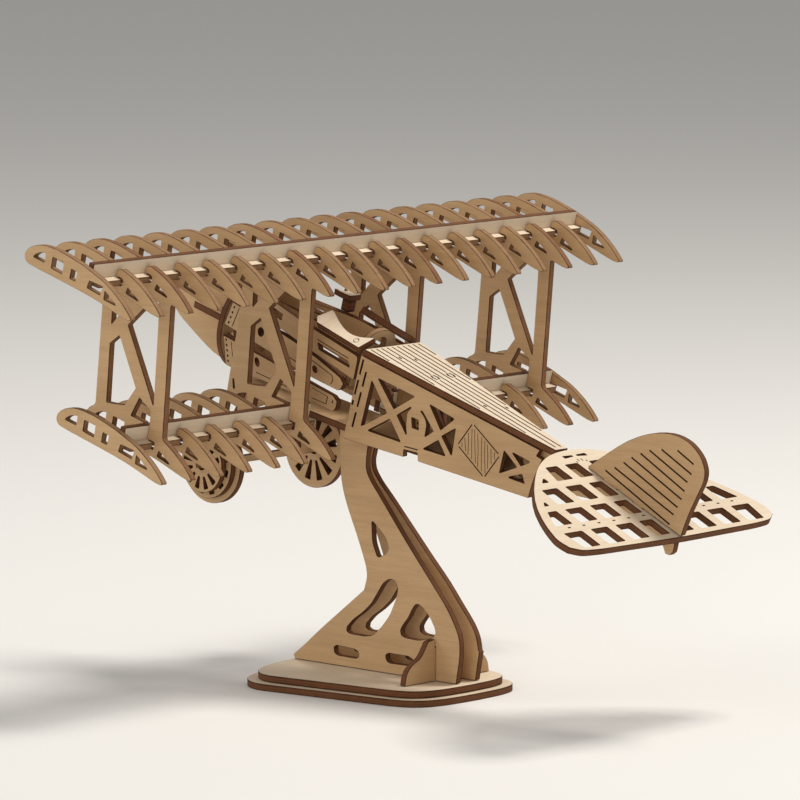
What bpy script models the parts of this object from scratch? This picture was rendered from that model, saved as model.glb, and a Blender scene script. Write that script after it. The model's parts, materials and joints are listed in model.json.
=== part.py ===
"""Laser-cut plywood biplane model, climbing on a leaning stand.

Millimetres in the tables, metres in the scene. +X is the aircraft's port side, -Y is the way
the nose points and +Z is up. The origin is on the centre line, on the underside of the base,
within a millimetre of its middle.
"""
import math

import bmesh
import bpy
from mathutils import Vector
from mathutils.geometry import tessellate_polygon

MM = 0.001
SHEET = 2.4            # plywood thickness
FIT = 0.2              # play left around every joint
PITCH = 13.5           # rib spacing along the span
SHIFT_Y = 23.2         # table Y to object Y
SHIFT_Z = 5.0          # table Z to object Z

# Wings: the lower wing is the upper one moved by LOWER.
LOWER = (0.6, -55.7)
SPAR_TOP = (-46.9, 148.7)
SPAR_TILT = math.radians(14.0)
SPAR_HIGH = 7.2
SHELF_DROP = 5.0
SHELF_DEEP = 6.0
UPPER_RIBS = range(1, 20)
STRUT_RIBS = (3, 8, 12, 17)
LOWER_RIBS = (2, 4, 5, 6, 7, 13, 14, 15, 16, 18)
TIP_UPPER = (1, 19)
TIP_LOWER = (2, 18)

RIB_FRONT = [(-73.4, 146.6), (-74.6, 147.4), (-75.2, 148.8), (-74.8, 150.3), (-73.0, 151.8),
             (-70.2, 152.9), (-66.5, 153.3), (-62.5, 152.8), (-58.5, 151.9), (-54.5, 150.6),
             (-50.5, 149.1), (-47.2, 147.9)]
RIB_REAR = [(-41.3, 145.0), (-38.5, 143.7), (-35.3, 141.7), (-32.0, 139.2), (-29.0, 136.5),
            (-26.6, 133.9), (-25.1, 132.0), (-25.0, 131.3), (-25.9, 131.1), (-28.5, 131.7)]
RIB_BELOW = [(-34.2, 134.0), (-41.2, 136.8), (-50.6, 139.8), (-60.1, 142.6), (-69.7, 145.4)]
HOLE_NOSE = [(-70.9, 149.0), (-69.4, 150.1), (-67.2, 150.7), (-64.9, 150.7), (-65.5, 147.5),
             (-68.0, 148.2)]
HOLE_FRONT = [(-61.5, 149.6), (-56.3, 148.2), (-57.2, 144.2), (-62.4, 145.9)]
HOLE_MIDDLE = [(-52.7, 146.3), (-50.0, 145.4), (-50.9, 142.3), (-53.6, 143.0)]
HOLE_TAIL = [(-40.0, 139.9), (-34.2, 135.3), (-41.0, 138.0)]
HOLE_TIP = [(-44.3, 143.0), (-38.0, 141.5), (-39.3, 138.6), (-45.5, 140.6)]
HOLE_TIP_TAIL = [(-37.0, 140.2), (-31.4, 135.5), (-37.6, 137.2)]

STRUT_BEHIND = [(-33.4, 133.7), (-37.7, 88.0)]
STRUT_AHEAD = [(-69.6, 97.2), (-64.6, 143.9)]
STRUT_FLARED = [(-74.2, 94.6), (-67.3, 125.1), (-65.0, 143.9)]
BAY_FRONT = [(-62.3, 118.4), (-57.8, 121.4), (-50.3, 104.2), (-55.6, 98.2), (-60.5, 98.2),
             (-64.2, 98.4)]
BAY_REAR = [(-53.7, 125.2), (-46.3, 131.2), (-42.0, 134.4), (-39.3, 134.0), (-39.3, 128.6),
            (-41.9, 98.6), (-42.8, 100.9)]
BAY_TOP = [(-61.0, 131.6), (-55.3, 130.9), (-61.6, 124.8)]
FLARE_HOLE = [(-71.3, 99.4), (-70.6, 99.6), (-70.2, 96.2), (-71.0, 96.0)]

# Fuselage.
SIDE_FRONT = (14.5, -28.0)
SIDE_REAR = (4.6, 45.0)
SIDE_OUTLINE = [(-3.6, 81.2), (21.6, 76.7), (21.7, 79.3), (27.4, 78.6), (27.5, 75.7),
                (72.7, 66.9), (75.0, 74.0), (78.4, 80.4), (76.0, 81.4), (77.4, 83.5), (4.0, 110.3)]
SIDE_HOLES = [
    [(8.5, 102.0), (14.7, 91.2), (3.9, 85.9)],
    [(11.0, 102.9), (26.3, 97.7), (17.6, 92.8)],
    [(6.6, 84.6), (16.0, 89.3), (20.5, 81.7)],
    [(18.9, 90.8), (25.6, 94.6), (23.1, 91.8), (22.6, 86.6), (23.2, 83.6)],
    [(25.0, 90.6), (27.9, 89.8), (27.9, 86.4), (25.2, 87.0)],
    [(28.6, 93.0), (29.5, 93.0), (34.1, 86.5), (30.4, 84.2), (31.3, 88.6), (30.6, 90.8)],
    [(32.4, 95.6), (42.7, 91.3), (37.0, 87.1)],
    [(29.6, 80.1), (36.1, 83.6), (39.0, 78.4)],
    [(37.4, 85.1), (43.2, 88.2), (41.5, 78.6)],
    [(63.0, 82.3), (68.2, 77.0), (61.0, 74.4)],
    [(66.0, 82.0), (73.6, 79.2), (69.8, 77.5)],
    [(64.2, 73.3), (70.3, 74.8), (71.3, 71.7)],
    [(-0.9, 92.9), (1.0, 93.9), (1.5, 98.0), (0.5, 99.3), (-0.7, 98.4), (-1.5, 95.1)],
]
DECK_FRONT = (-22.2, 112.4)
DECK_TILT = math.radians(20.2)
DECK_LONG = 82.2
RIM_OUTLINE = [(14.8, -2.3), (14.8, -23.1), (12.8, -25.4), (10.2, -24.4), (7.6, -23.6),
               (8.4, -21.4), (10.2, -17.2), (11.5, -13.0), (11.9, -9.6), (11.2, -6.0), (8.4, -1.5)]
RIM_EDGE = 14.1        # where the rim meets the deck plane
RIM_TILT = math.radians(28.0)
SEAT_BACK = [(8.1, -2.8), (7.0, 0.2), (4.9, 1.9), (2.6, 2.9), (0.0, 3.1)]
SEAT_FOOT = [(0.0, -17.0), (10.4, -17.0), (10.4, -6.0), (8.1, -4.6)]
SEAT_AT = -8.0
FLOOR_TILT = math.radians(10.9)
FLOOR_FRONT = (-86.0, 95.45)

# Nose, on the thrust line.
THRUST_TILT = math.radians(14.6)
RING_CENTRE = (-92.3, 115.2)
RING_HALF = (14.2, 17.2)
PROP_AHEAD = 3.0       # front face of the propeller, ahead of the ring's front face
PROP_RADIUS = 34.0
PROP_ANGLE = math.radians(72.0)
SPINNER_UP = [(3.2, 16.6), (11.9, 15.5), (22.0, 11.7), (30.6, 8.2), (34.0, 5.8), (35.6, 3.0),
              (36.0, 0.6)]
SPINNER_FLAT = [(3.2, 7.4), (20.0, 6.2)]
SPINNER_LAP = 11.0     # where the two sheets' slots meet
SHAFT_END = -6.0
STAVES = (
    # name, corners at the ring (x, h), heights beside the coaming, rear corners (y, z)
    ("upper", ((5.4, 15.4), (10.6, 11.0)), (118.4, 110.4), ((-25.0, 109.7), (-27.2, 101.4))),
    ("middle", ((11.8, 9.2), (14.0, 1.3)), (109.7, 101.0), ((-31.4, 100.6), (-33.8, 97.0))),
    ("lower", ((13.6, -2.8), (9.3, -14.4)), (98.8, 92.8), ((-34.6, 94.6), (-36.0, 89.6))),
)
GUN_BLOCK = ((-14.4, -8.4), (-58.2, -50.0), 128.6)
SHAFT_HOLE = 2.05

# Undercarriage.
WHEEL_AT = (28.0, -83.2, 68.9)
WHEEL_RADII = (9.8, 12.0, 14.0)
WHEEL_WIDE = 7.2
AXLE_HOLE = 1.95

# Tail.
TAIL_REAR = (107.7, 59.9)
TAIL_TILT = math.radians(25.5)
TAIL_HALF = [(0.0, -56.3), (10.0, -54.8), (17.5, -51.6), (24.5, -47.0), (36.0, -37.0),
             (44.5, -27.0), (50.0, -16.5), (52.4, -9.0), (51.3, -4.3), (47.5, -1.6),
             (40.0, -0.8), (0.0, 0.0)]
TAIL_COLUMNS = [(2.9, 9.2), (13.2, 20.9), (25.2, 33.2), (37.6, 46.4)]
TAIL_RIM = 4.2
TAIL_ROWS = [(-11.8, -2.9), (-24.2, -16.4), (-36.2, -27.6), (-48.0, -40.0)]
FIN_OUTLINE = [(67.4, 79.4), (75.3, 84.3), (84.9, 89.9), (93.6, 92.9), (100.1, 93.9),
               (106.6, 93.6), (112.6, 91.3), (117.0, 87.0), (118.6, 82.6), (117.9, 79.1),
               (114.3, 72.8), (111.0, 66.9), (108.2, 60.3)]
FIN_TABS = ((-37.0, -30.5), (-22.5, -18.0))

# Stand and base.
STAND_INNER = 3.65
STAND_OUTLINE = [(-41.5, 84.1), (-41.5, 73.5), (-41.1, 64.9), (-39.3, 58.8), (-36.8, 53.2),
                 (-32.1, 43.2), (-29.2, 35.8), (-28.8, 32.5), (-30.3, 27.8), (-35.0, 24.1),
                 (-41.0, 19.5), (-51.0, 12.0), (-59.3, 5.0), (-64.0, 1.6), (-63.2, 0.2),
                 (0.6, 0.2), (0.6, 12.0), (3.4, 12.0), (3.4, 0.2), (12.6, 0.2), (13.5, 5.2),
                 (14.5, 10.4), (14.2, 16.3), (9.8, 24.3), (0.6, 34.6), (-11.0, 47.2),
                 (-20.4, 58.3), (-27.0, 65.8), (-29.2, 69.3), (-29.2, 73.4), (-27.6, 81.4)]
STAND_SLIM = [(14.0, 10.6), (13.5, 14.0), (12.1, 17.3), (9.8, 20.5), (4.8, 26.1), (-0.8, 32.7),
              (-7.3, 39.0), (-13.4, 45.2), (-19.9, 51.8), (-26.0, 58.2), (-32.6, 64.5),
              (-35.2, 68.0), (-35.8, 71.0), (-34.0, 77.6)]
STAND_HOLES = [
    [(-26.6, 52.6), (-20.0, 47.3), (-18.5, 44.4), (-18.8, 42.6), (-20.2, 41.3), (-23.8, 39.6),
     (-26.2, 44.8)],
    [(-17.6, 33.2), (-20.9, 31.6), (-23.4, 28.2), (-26.6, 23.6), (-30.8, 20.0), (-35.4, 17.0),
     (-38.8, 13.6), (-38.0, 12.0), (-29.9, 11.8), (-25.9, 12.6), (-21.8, 16.2), (-18.2, 20.4),
     (-15.6, 25.6), (-14.1, 29.8), (-15.0, 32.4)],
    [(-5.4, 26.0), (-2.9, 25.0), (0.4, 22.0), (3.2, 17.4), (2.8, 15.5), (0.6, 14.4),
     (-4.7, 13.2), (-11.9, 13.5), (-13.4, 15.0), (-12.6, 17.0), (-9.4, 20.6), (-7.2, 24.4)],
    [(-44.0, 7.2), (-34.0, 6.8), (-32.2, 5.4), (-33.0, 3.6), (-43.4, 3.7), (-44.8, 5.4)],
    [(-19.4, 7.3), (-8.2, 7.2), (-6.4, 5.6), (-7.2, 4.0), (-19.0, 3.8), (-20.4, 5.6)],
]
BRACE_REAR = 3.2
BRACE_HALF = [(21.2, 0.2), (20.4, 4.2), (17.8, 6.9), (13.6, 8.6), (11.4, 11.2), (9.6, 14.0),
              (6.3, 14.6), (6.3, 11.7)]
BASE_HALF = [(0.0, 16.2), (13.0, 15.5), (19.4, 13.6), (23.6, 9.8), (25.6, 4.2), (28.2, -12.0),
             (30.8, -30.0), (33.2, -47.0), (31.8, -52.2), (27.8, -57.2), (22.0, -60.6),
             (12.0, -63.4), (0.0, -64.4)]
BASE_SIDE = 3.0         # how far the base lies to port of the stand's middle
BASE_STEP = 3.2

PALE = (0.80, 0.66, 0.50)
TAN = (0.62, 0.45, 0.30)


def clear_scene():
    for ob in list(bpy.data.objects):
        bpy.data.objects.remove(ob, do_unlink=True)


def place(x, y, z):
    return Vector((x * MM, (y + SHIFT_Y) * MM, (z + SHIFT_Z) * MM))


def wood(name, colour, rough=0.62):
    mat = bpy.data.materials.new(name)
    mat.use_nodes = True
    shader = mat.node_tree.nodes["Principled BSDF"]
    shader.inputs["Base Color"].default_value = (*colour, 1.0)
    shader.inputs["Roughness"].default_value = rough
    mat.diffuse_color = (*colour, 1.0)
    return mat


def finish(name, bm, colour, origin=None):
    """Turn a bmesh into one named object with clean outward normals."""
    bmesh.ops.remove_doubles(bm, verts=bm.verts, dist=1e-7)
    bmesh.ops.recalc_face_normals(bm, faces=bm.faces)
    origin = origin or Vector((0.0, 0.0, 0.0))
    bmesh.ops.translate(bm, verts=bm.verts, vec=-origin)
    mesh = bpy.data.meshes.new(name)
    bm.to_mesh(mesh)
    bm.free()
    for poly in mesh.polygons:
        poly.use_smooth = True
    mesh.set_sharp_from_angle(angle=math.radians(32.0))
    ob = bpy.data.objects.new(name, mesh)
    ob.location = origin
    mesh.materials.append(wood(name + "_wood", colour))
    bpy.context.collection.objects.link(ob)
    return ob


def plate(name, outline, holes, to3d, colour, thick=SHEET, origin=None):
    """A flat sheet cut to an outline with holes; to3d(a, b, w) gives the place of a point."""
    loops = [list(outline)] + [list(h) for h in holes]
    bm = bmesh.new()
    near, far = [], []
    for loop in loops:
        near.append([bm.verts.new(to3d(a, b, 0.0)) for a, b in loop])
        far.append([bm.verts.new(to3d(a, b, thick)) for a, b in loop])
    for low, high in zip(near, far):
        for i in range(len(low)):
            j = (i + 1) % len(low)
            bm.faces.new((low[i], low[j], high[j], high[i]))
    flat = [[Vector((a, b, 0.0)) for a, b in loop] for loop in loops]
    all_near = [v for loop in near for v in loop]
    all_far = [v for loop in far for v in loop]
    for tri in tessellate_polygon(flat):
        bm.faces.new([all_near[i] for i in tri])
        bm.faces.new([all_far[i] for i in reversed(tri)])
    return finish(name, bm, colour, origin)


def mirror_half(half):
    """Close a half outline that starts and ends on the centre line."""
    return half + [(-x, y) for x, y in reversed(half[1:-1])]


def circle(cx, cy, radius, count, start=0.0):
    step = 2.0 * math.pi / count
    return [(cx + radius * math.cos(start + i * step), cy + radius * math.sin(start + i * step))
            for i in range(count)]


def soften(points, radius, steps=2):
    """Round the corners of a polygon."""
    out = []
    count = len(points)
    for i, here in enumerate(points):
        p = Vector(points[i - 1])
        q = Vector(here)
        r = Vector(points[(i + 1) % count])
        a, b = p - q, r - q
        cut = min(radius, 0.45 * a.length, 0.45 * b.length)
        start, end = q + a.normalized() * cut, q + b.normalized() * cut
        for k in range(steps + 1):
            t = k / steps
            w = start * (1 - t) ** 2 + q * 2 * t * (1 - t) + end * t * t
            out.append((w.x, w.y))
    return out


def move(points, dy, dz):
    return [(y + dy, z + dz) for y, z in points]


# ---- wings ---------------------------------------------------------------------------------

def spar_point(c, u, shift=(0.0, 0.0)):
    """A point given along the chord (aft) and up from the top front edge of the spar."""
    cs, sn = math.cos(SPAR_TILT), math.sin(SPAR_TILT)
    return (SPAR_TOP[0] + shift[0] + c * cs + u * sn, SPAR_TOP[1] + shift[1] - c * sn + u * cs)


def spar_slot():
    """The notch a rib has for the spar, from its front top edge round to its rear top edge."""
    low = -SPAR_HIGH - FIT
    steps = [(-FIT, low), (SHELF_DEEP + FIT, low), (SHELF_DEEP + FIT, -SHELF_DROP + FIT),
             (SHEET + FIT, -SHELF_DROP + FIT), (SHEET + FIT, -3.4), (SHEET + 0.9, -2.3),
             (SHEET + 2.2, -1.8)]
    return [spar_point(*p) for p in steps]


def rib_outline(tip):
    """A tip rib closes the end of the spars, so it has no notch."""
    return RIB_FRONT + ([] if tip else spar_slot()) + RIB_REAR + RIB_BELOW


def rib_holes(tip):
    holes = [HOLE_NOSE, HOLE_FRONT, HOLE_MIDDLE]
    return holes + ([HOLE_TIP, HOLE_TIP_TAIL] if tip else [HOLE_TAIL])


def at_span(x):
    """Map (y, z) of a rib or strut sheet centred on span station x."""
    return lambda y, z, w: place(x - 0.5 * SHEET + w, y, z)


def station(k):
    return (10 - k) * PITCH


def ribs():
    for k in UPPER_RIBS:
        if k in STRUT_RIBS:
            continue
        tip = k in TIP_UPPER
        plate("upper_rib_%02d" % k, rib_outline(tip), rib_holes(tip), at_span(station(k)), TAN)
    for k in LOWER_RIBS:
        tip = k in TIP_LOWER
        plate("lower_rib_%02d" % k, move(rib_outline(tip), *LOWER),
              [move(h, *LOWER) for h in rib_holes(tip)], at_span(station(k)), TAN)


def strut_frame(name, k, flared):
    """Upper rib, lower rib and the N-shaped strut between them, cut as one sheet."""
    ahead = STRUT_FLARED if flared else STRUT_AHEAD
    low_front = [] if flared else move(RIB_FRONT[4:5], *LOWER)
    outline = (RIB_FRONT + spar_slot() + RIB_REAR + STRUT_BEHIND
               + move(RIB_REAR[2:], *LOWER) + move(RIB_BELOW, *LOWER)
               + move(RIB_FRONT[:4], *LOWER) + low_front + ahead + RIB_BELOW[-1:])
    low = -SPAR_HIGH - FIT
    slot = [(SHEET + FIT, 0.2), (SHEET + FIT, -SHELF_DROP + FIT),
            (SHELF_DEEP + FIT, -SHELF_DROP + FIT), (SHELF_DEEP + FIT, low), (-FIT, low),
            (-FIT, 0.2)]
    foot = [(-48.4, 101.3), (-43.3, 97.4)] + [spar_point(c, u, LOWER) for c, u in slot]
    foot += [(-52.6, 94.9)]
    nose = [HOLE_NOSE, HOLE_FRONT, HOLE_MIDDLE, HOLE_TAIL]
    holes = nose + [move(h, *LOWER) for h in nose] + [BAY_FRONT, BAY_REAR, BAY_TOP, foot]
    if flared:
        holes.append(FLARE_HOLE)
    plate(name, outline, holes, at_span(station(k)), TAN)


def shelf_spar(name, ends, shift=(0.0, 0.0), colour=PALE):
    """An upright spar strip with a narrower shelf strip behind its foot."""
    high, deep, drop = SPAR_HIGH, SHELF_DEEP, SHELF_DROP
    profile = [(0.0, 0.0), (SHEET, 0.0), (SHEET, -drop), (deep, -drop), (deep, -high), (0.0, -high)]
    plate(name, profile, [], lambda c, u, w: place(ends[0] + w, *spar_point(c, u, shift)), colour,
          thick=ends[1] - ends[0])


def spars():
    end = station(1) - 0.5 * SHEET - FIT
    shelf_spar("upper_spar", (-end, end))
    end = station(2) - 0.5 * SHEET - FIT
    shelf_spar("lower_spar_port", (17.6, end), LOWER)
    shelf_spar("lower_spar_starboard", (-end, -17.6), LOWER)


# ---- fuselage ------------------------------------------------------------------------------

def fuselage_side(name, sign):
    """Trussed rear side; its outer face runs from SIDE_FRONT in to SIDE_REAR."""
    dx, dy = SIDE_REAR[0] - SIDE_FRONT[0], SIDE_REAR[1] - SIDE_FRONT[1]
    long = math.hypot(dx, dy)
    tx, ty = dx / long, dy / long

    def to3d(u, z, w):
        x = SIDE_FRONT[0] + u * tx - w * ty
        y = SIDE_FRONT[1] + u * ty + w * tx
        return place(sign * x, y, z)

    plate(name, SIDE_OUTLINE, SIDE_HOLES, to3d, TAN)


def tilted(front, tilt, thick_down=True):
    """Map (x, s) on a plane that drops aft by tilt from its front line."""
    cs, sn = math.cos(tilt), math.sin(tilt)

    def to3d(x, s, w):
        return place(x, front[0] + s * cs - w * sn, front[1] - s * sn - w * cs)
    return to3d


def upright(centre, tilt):
    """Map (x, h) on a plane square to a line that climbs forward by tilt; w runs aft."""
    cs, sn = math.cos(tilt), math.sin(tilt)

    def to3d(x, h, w):
        return place(x, centre[0] + h * sn + w * cs, centre[1] + h * cs - w * sn)
    return to3d


def rim_plane(x, s, w):
    """Map (x, s) on the port half of the cockpit's rim, which rises inward off the deck."""
    h = (RIM_EDGE - x) * math.tan(RIM_TILT) - w * math.cos(RIM_TILT)
    y, z = tilted(DECK_FRONT, DECK_TILT)(x, s, -h)[1:]
    return Vector((MM * (x - w * math.sin(RIM_TILT)), y, z))


def decks():
    deck = [(0.0, 0.0), (14.0, 0.0), (3.1, DECK_LONG), (0.0, DECK_LONG)]
    slots = [[(x - 1.1, 24.0), (x + 1.1, 24.0), (x + 1.1, 25.4), (x - 1.1, 25.4)]
             for x in (-4.0, 4.0)]
    plate("rear_deck", mirror_half(deck), slots, tilted(DECK_FRONT, DECK_TILT), PALE)
    plate("cockpit_coaming", RIM_OUTLINE, [], rim_plane, PALE)
    floor = [(0.0, 0.0), (11.0, 0.0), (11.6, 57.5), (2.5, 124.0), (0.0, 124.0)]
    plate("fuselage_floor", mirror_half(floor), [], tilted(FLOOR_FRONT, FLOOR_TILT), TAN)


def headrest():
    """The seat back, whose arched top is the headrest."""
    cs, sn = math.cos(DECK_TILT), math.sin(DECK_TILT)
    centre = (DECK_FRONT[0] + SEAT_AT * cs, DECK_FRONT[1] - SEAT_AT * sn)
    outline = mirror_half(SEAT_FOOT + SEAT_BACK)
    hole = [(2.6, -3.4), (2.6, -0.6), (1.2, 0.5), (-1.2, 0.5), (-2.6, -0.6), (-2.6, -3.4)]
    plate("headrest_arch", outline, [hole], upright(centre, DECK_TILT), TAN)


def former(name, centre, outline, holes):
    plate(name, outline, holes, upright(centre, THRUST_TILT), TAN)


def formers():
    holes = [circle(0.0, 0.0, SHAFT_HOLE, 20)]
    holes += [circle(8.0 * math.cos(a), 8.0 * math.sin(a), 2.2, 10)
              for a in (math.radians(30 + 60 * i) for i in range(6))]
    wide, high = RING_HALF
    rim = [(wide * x, high * y) for x, y in circle(0.0, 0.0, 1.0, 40)]
    former("nose_ring", RING_CENTRE, rim, holes)


def stave(name, sign, stations):
    """One plank of the nose. Each station gives its upper then its lower outer corner."""
    bm = bmesh.new()
    rings = []
    for (x0, y0, z0), (x1, y1, z1) in stations:
        nx, nz = z0 - z1, x1 - x0
        size = math.hypot(nx, nz) / SHEET
        nx, nz = nx / size, nz / size
        ring = [(x0, y0, z0), (x1, y1, z1), (x1 - nx, y1, z1 - nz), (x0 - nx, y0, z0 - nz)]
        rings.append([bm.verts.new(place(sign * x, y, z)) for x, y, z in ring])
    for here, there in zip(rings, rings[1:]):
        for i in range(4):
            j = (i + 1) % 4
            bm.faces.new((here[i], here[j], there[j]))
            bm.faces.new((here[i], there[j], there[i]))
    bm.faces.new(rings[0])
    bm.faces.new(rings[-1])
    finish(name, bm, TAN)


def staves():
    """Three planks a side, from behind the ring, past the coaming, to the cockpit sides."""
    cs, sn = math.cos(THRUST_TILT), math.sin(THRUST_TILT)

    def front(x, h):
        aft = SHEET + 0.5
        return (x, RING_CENTRE[0] + h * sn + aft * cs, RING_CENTRE[1] + h * cs - aft * sn)

    for label, corners, beside, behind in STAVES:
        stations = ([front(*c) for c in corners], [(13.9, -49.0, z) for z in beside],
                    [(14.4, y, z) for y, z in behind])
        for side, sign in (("port", 1.0), ("starboard", -1.0)):
            stave("nose_stave_%s_%s" % (side, label), sign, stations)


def gun_block():
    (x0, x1), (y0, y1), top = GUN_BLOCK
    outline = [(x0, 0.0), (x1, 0.0), (x1, y1 - y0), (x0, y1 - y0)]
    plate("cowl_top_block", soften(outline, 1.2, 2), [], tilted((y0, top), THRUST_TILT), PALE,
          thick=6.4)


def propeller():
    """Two paddle blades on a flat sheet, square to the thrust line; gives the hub's place."""
    half = [(4.0, 0.0), (4.0, 4.0), (3.0, 7.6), (4.4, 13.0), (5.6, 20.0), (5.6, 26.0),
            (4.2, 31.4), (1.6, PROP_RADIUS)]
    blade = half + [(-x, y) for x, y in reversed(half)]
    outline = blade[:-1] + [(-x, -y) for x, y in blade[:-1]]
    ca, sa = math.cos(PROP_ANGLE - math.pi / 2), math.sin(PROP_ANGLE - math.pi / 2)
    turned = [(x * ca - y * sa, x * sa + y * ca) for x, y in outline]
    cs, sn = math.cos(THRUST_TILT), math.sin(THRUST_TILT)
    centre = (RING_CENTRE[0] - PROP_AHEAD * cs, RING_CENTRE[1] + PROP_AHEAD * sn)
    hub = place(0.0, *centre)
    a = 0.5 * SHEET + FIT
    plate("propeller", turned, [[(-a, -a), (a, -a), (a, a), (-a, a)]],
          upright(centre, THRUST_TILT), TAN, origin=hub)
    return hub


def spinner(hub):
    """Two pointed sheets lapped across each other ahead of the hub; one carries the shaft."""
    to3d = upright(RING_CENTRE, THRUST_TILT)
    half, gap = 0.5 * SHEET, 0.5 * SHEET + FIT
    (back, _), (front, wide) = SPINNER_FLAT
    lap = SPINNER_LAP
    up = SPINNER_UP + [(f, -h) for f, h in reversed(SPINNER_UP)]
    up += [(back, -gap), (lap + FIT, -gap), (lap + FIT, gap), (back, gap)]
    plate("spinner_upright", up, [], lambda f, h, w: to3d(w - half, h, -f), TAN, origin=hub)
    side = SPINNER_FLAT + [(front + 1.4, wide - 2.4), (front + 1.4, gap), (lap, gap)]
    side += [(f, -x) for f, x in reversed(side)]
    side += [(back, -half), (SHAFT_END, -half), (SHAFT_END, half), (back, half)]
    plate("spinner_flat", side, [], lambda f, x, w: to3d(x, w - half, -f), TAN, origin=hub)


# ---- undercarriage -------------------------------------------------------------------------

def wheel_hole(deg):
    """One opening between two spokes."""
    points = [(4.4, deg - 5.0), (4.4, deg + 5.0), (8.7, deg + 7.0), (8.7, deg - 7.0)]
    return [(r * math.cos(math.radians(a)), r * math.sin(math.radians(a))) for r, a in points]


def wheel(name, x, outward):
    """Three glued discs, the smallest outermost, with an axle hole and twelve openings."""
    centre = Vector((x, WHEEL_AT[1], WHEEL_AT[2]))
    bm = bmesh.new()

    def ring(loop, level):
        across = outward * (0.5 * WHEEL_WIDE - level * SHEET)
        return [bm.verts.new(place(x + across, centre.y + a, centre.z + b)) for a, b in loop]

    def band(one, two):
        for i in range(len(one)):
            j = (i + 1) % len(one)
            bm.faces.new((one[i], one[j], two[j], two[i]))

    rims = [circle(0.0, 0.0, r, 40) for r in WHEEL_RADII]
    holes = [circle(0.0, 0.0, AXLE_HOLE, 16)] + [wheel_hole(15.0 + 30.0 * i) for i in range(12)]
    rings = [ring(rims[0], 0), ring(rims[0], 1), ring(rims[1], 1), ring(rims[1], 2),
             ring(rims[2], 2), ring(rims[2], 3)]
    for one, two in zip(rings, rings[1:]):
        band(one, two)
    ends = []
    for level, rim, edge in ((0, rims[0], rings[0]), (3, rims[2], rings[5])):
        inner = [ring(hole, level) for hole in holes]
        ends.append(inner)
        flat = [[Vector((a, b, 0.0)) for a, b in loop] for loop in [rim] + holes]
        verts = edge + [v for loop in inner for v in loop]
        for tri in tessellate_polygon(flat):
            bm.faces.new([verts[i] for i in tri])
    for one, two in zip(*ends):
        band(one, two)
    finish(name, bm, TAN, place(*centre))


def undercarriage():
    """A V frame square to the flight line, cut with its axle as one sheet, and two wheels."""
    x0, y0, z0 = WHEEL_AT
    half = 0.5 * SHEET
    reach = x0 + 0.5 * WHEEL_WIDE + 1.6
    outer = [(0.0, 91.9), (10.6, 91.9), (12.4, 88.6), (21.6, 75.4), (22.2, 72.0), (21.6, z0 + half),
             (reach, z0 + half), (reach, z0 - half), (0.0, z0 - half)]
    inner = [(0.0, z0 + half), (16.8, z0 + half), (16.4, 73.6), (8.6, 84.4), (4.6, 86.4),
             (0.0, 86.8)]
    plate("landing_gear_frame", mirror_half(outer), [mirror_half(inner)],
          lambda x, z, w: place(x, y0 - half + w, z), TAN)
    wheel("wheel_port", x0, 1.0)
    wheel("wheel_starboard", -x0, -1.0)


# ---- tail ----------------------------------------------------------------------------------

def tail_point(s, up=0.0):
    """(y, z) of a point s forward (negative) of the tailplane's rear edge, up above its top."""
    cs, sn = math.cos(TAIL_TILT), math.sin(TAIL_TILT)
    return (TAIL_REAR[0] + s * cs + up * sn, TAIL_REAR[1] - s * sn + up * cs)


def half_width(s):
    """Half span of the tailplane at s, inside its rim."""
    best = 0.0
    for (x0, s0), (x1, s1) in zip(TAIL_HALF, TAIL_HALF[1:]):
        if min(s0, s1) <= s <= max(s0, s1) and s0 != s1:
            best = x0 + (x1 - x0) * (s - s0) / (s1 - s0)
    return best


def tail_cells():
    cells = []
    for low, high in TAIL_ROWS:
        for left, right in TAIL_COLUMNS:
            front = low
            while half_width(front) - TAIL_RIM < left + 0.4 and front < high:
                front += 0.2
            edge_low = min(right, half_width(front) - TAIL_RIM)
            edge_high = min(right, half_width(high) - TAIL_RIM)
            if max(edge_low, edge_high) - left < 1.8:
                continue
            cell = [(left, front), (edge_low, front), (edge_high, high), (left, high)]
            cell = soften(cell, 0.3, 1)
            cells += [cell, [(-x, s) for x, s in cell]]
    for a, b in ((5.6, 1.0), (-5.6, -1.0)):
        cells.append([(a, -51.4), (b, -51.9), (b, -52.6), (a, -52.8)])
    return cells


def tail():
    slots = [[(1.4, a - FIT), (1.4, b + FIT), (-1.4, b + FIT), (-1.4, a - FIT)]
             for a, b in FIN_TABS]
    plate("tailplane", mirror_half(TAIL_HALF), tail_cells() + slots,
          tilted(tail_point(0.0), TAIL_TILT), PALE)
    bottom = []
    for a, b in reversed(FIN_TABS):
        bottom += [tail_point(b, 0.25), tail_point(b, -SHEET), tail_point(a, -SHEET),
                   tail_point(a, 0.25)]
    upright_sheet = lambda y, z, w: place(w - 0.5 * SHEET, y, z)
    plate("fin", FIN_OUTLINE + bottom, [], upright_sheet, TAN)
    under = [tail_point(s, -SHEET - FIT) for s in (-3.4, -20.0, -40.0, -55.0)]
    keel = [(105.6, 57.6), (104.8, 54.6), (103.2, 53.4), (101.4, 53.8), (100.4, 56.6),
            (97.0, 59.6), (70.0, 68.6), (38.5, 71.0), (38.5, 87.0), (53.0, 81.6)]
    plate("tail_keel", under[::-1] + keel, [], upright_sheet, TAN)


# ---- stand ---------------------------------------------------------------------------------

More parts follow.
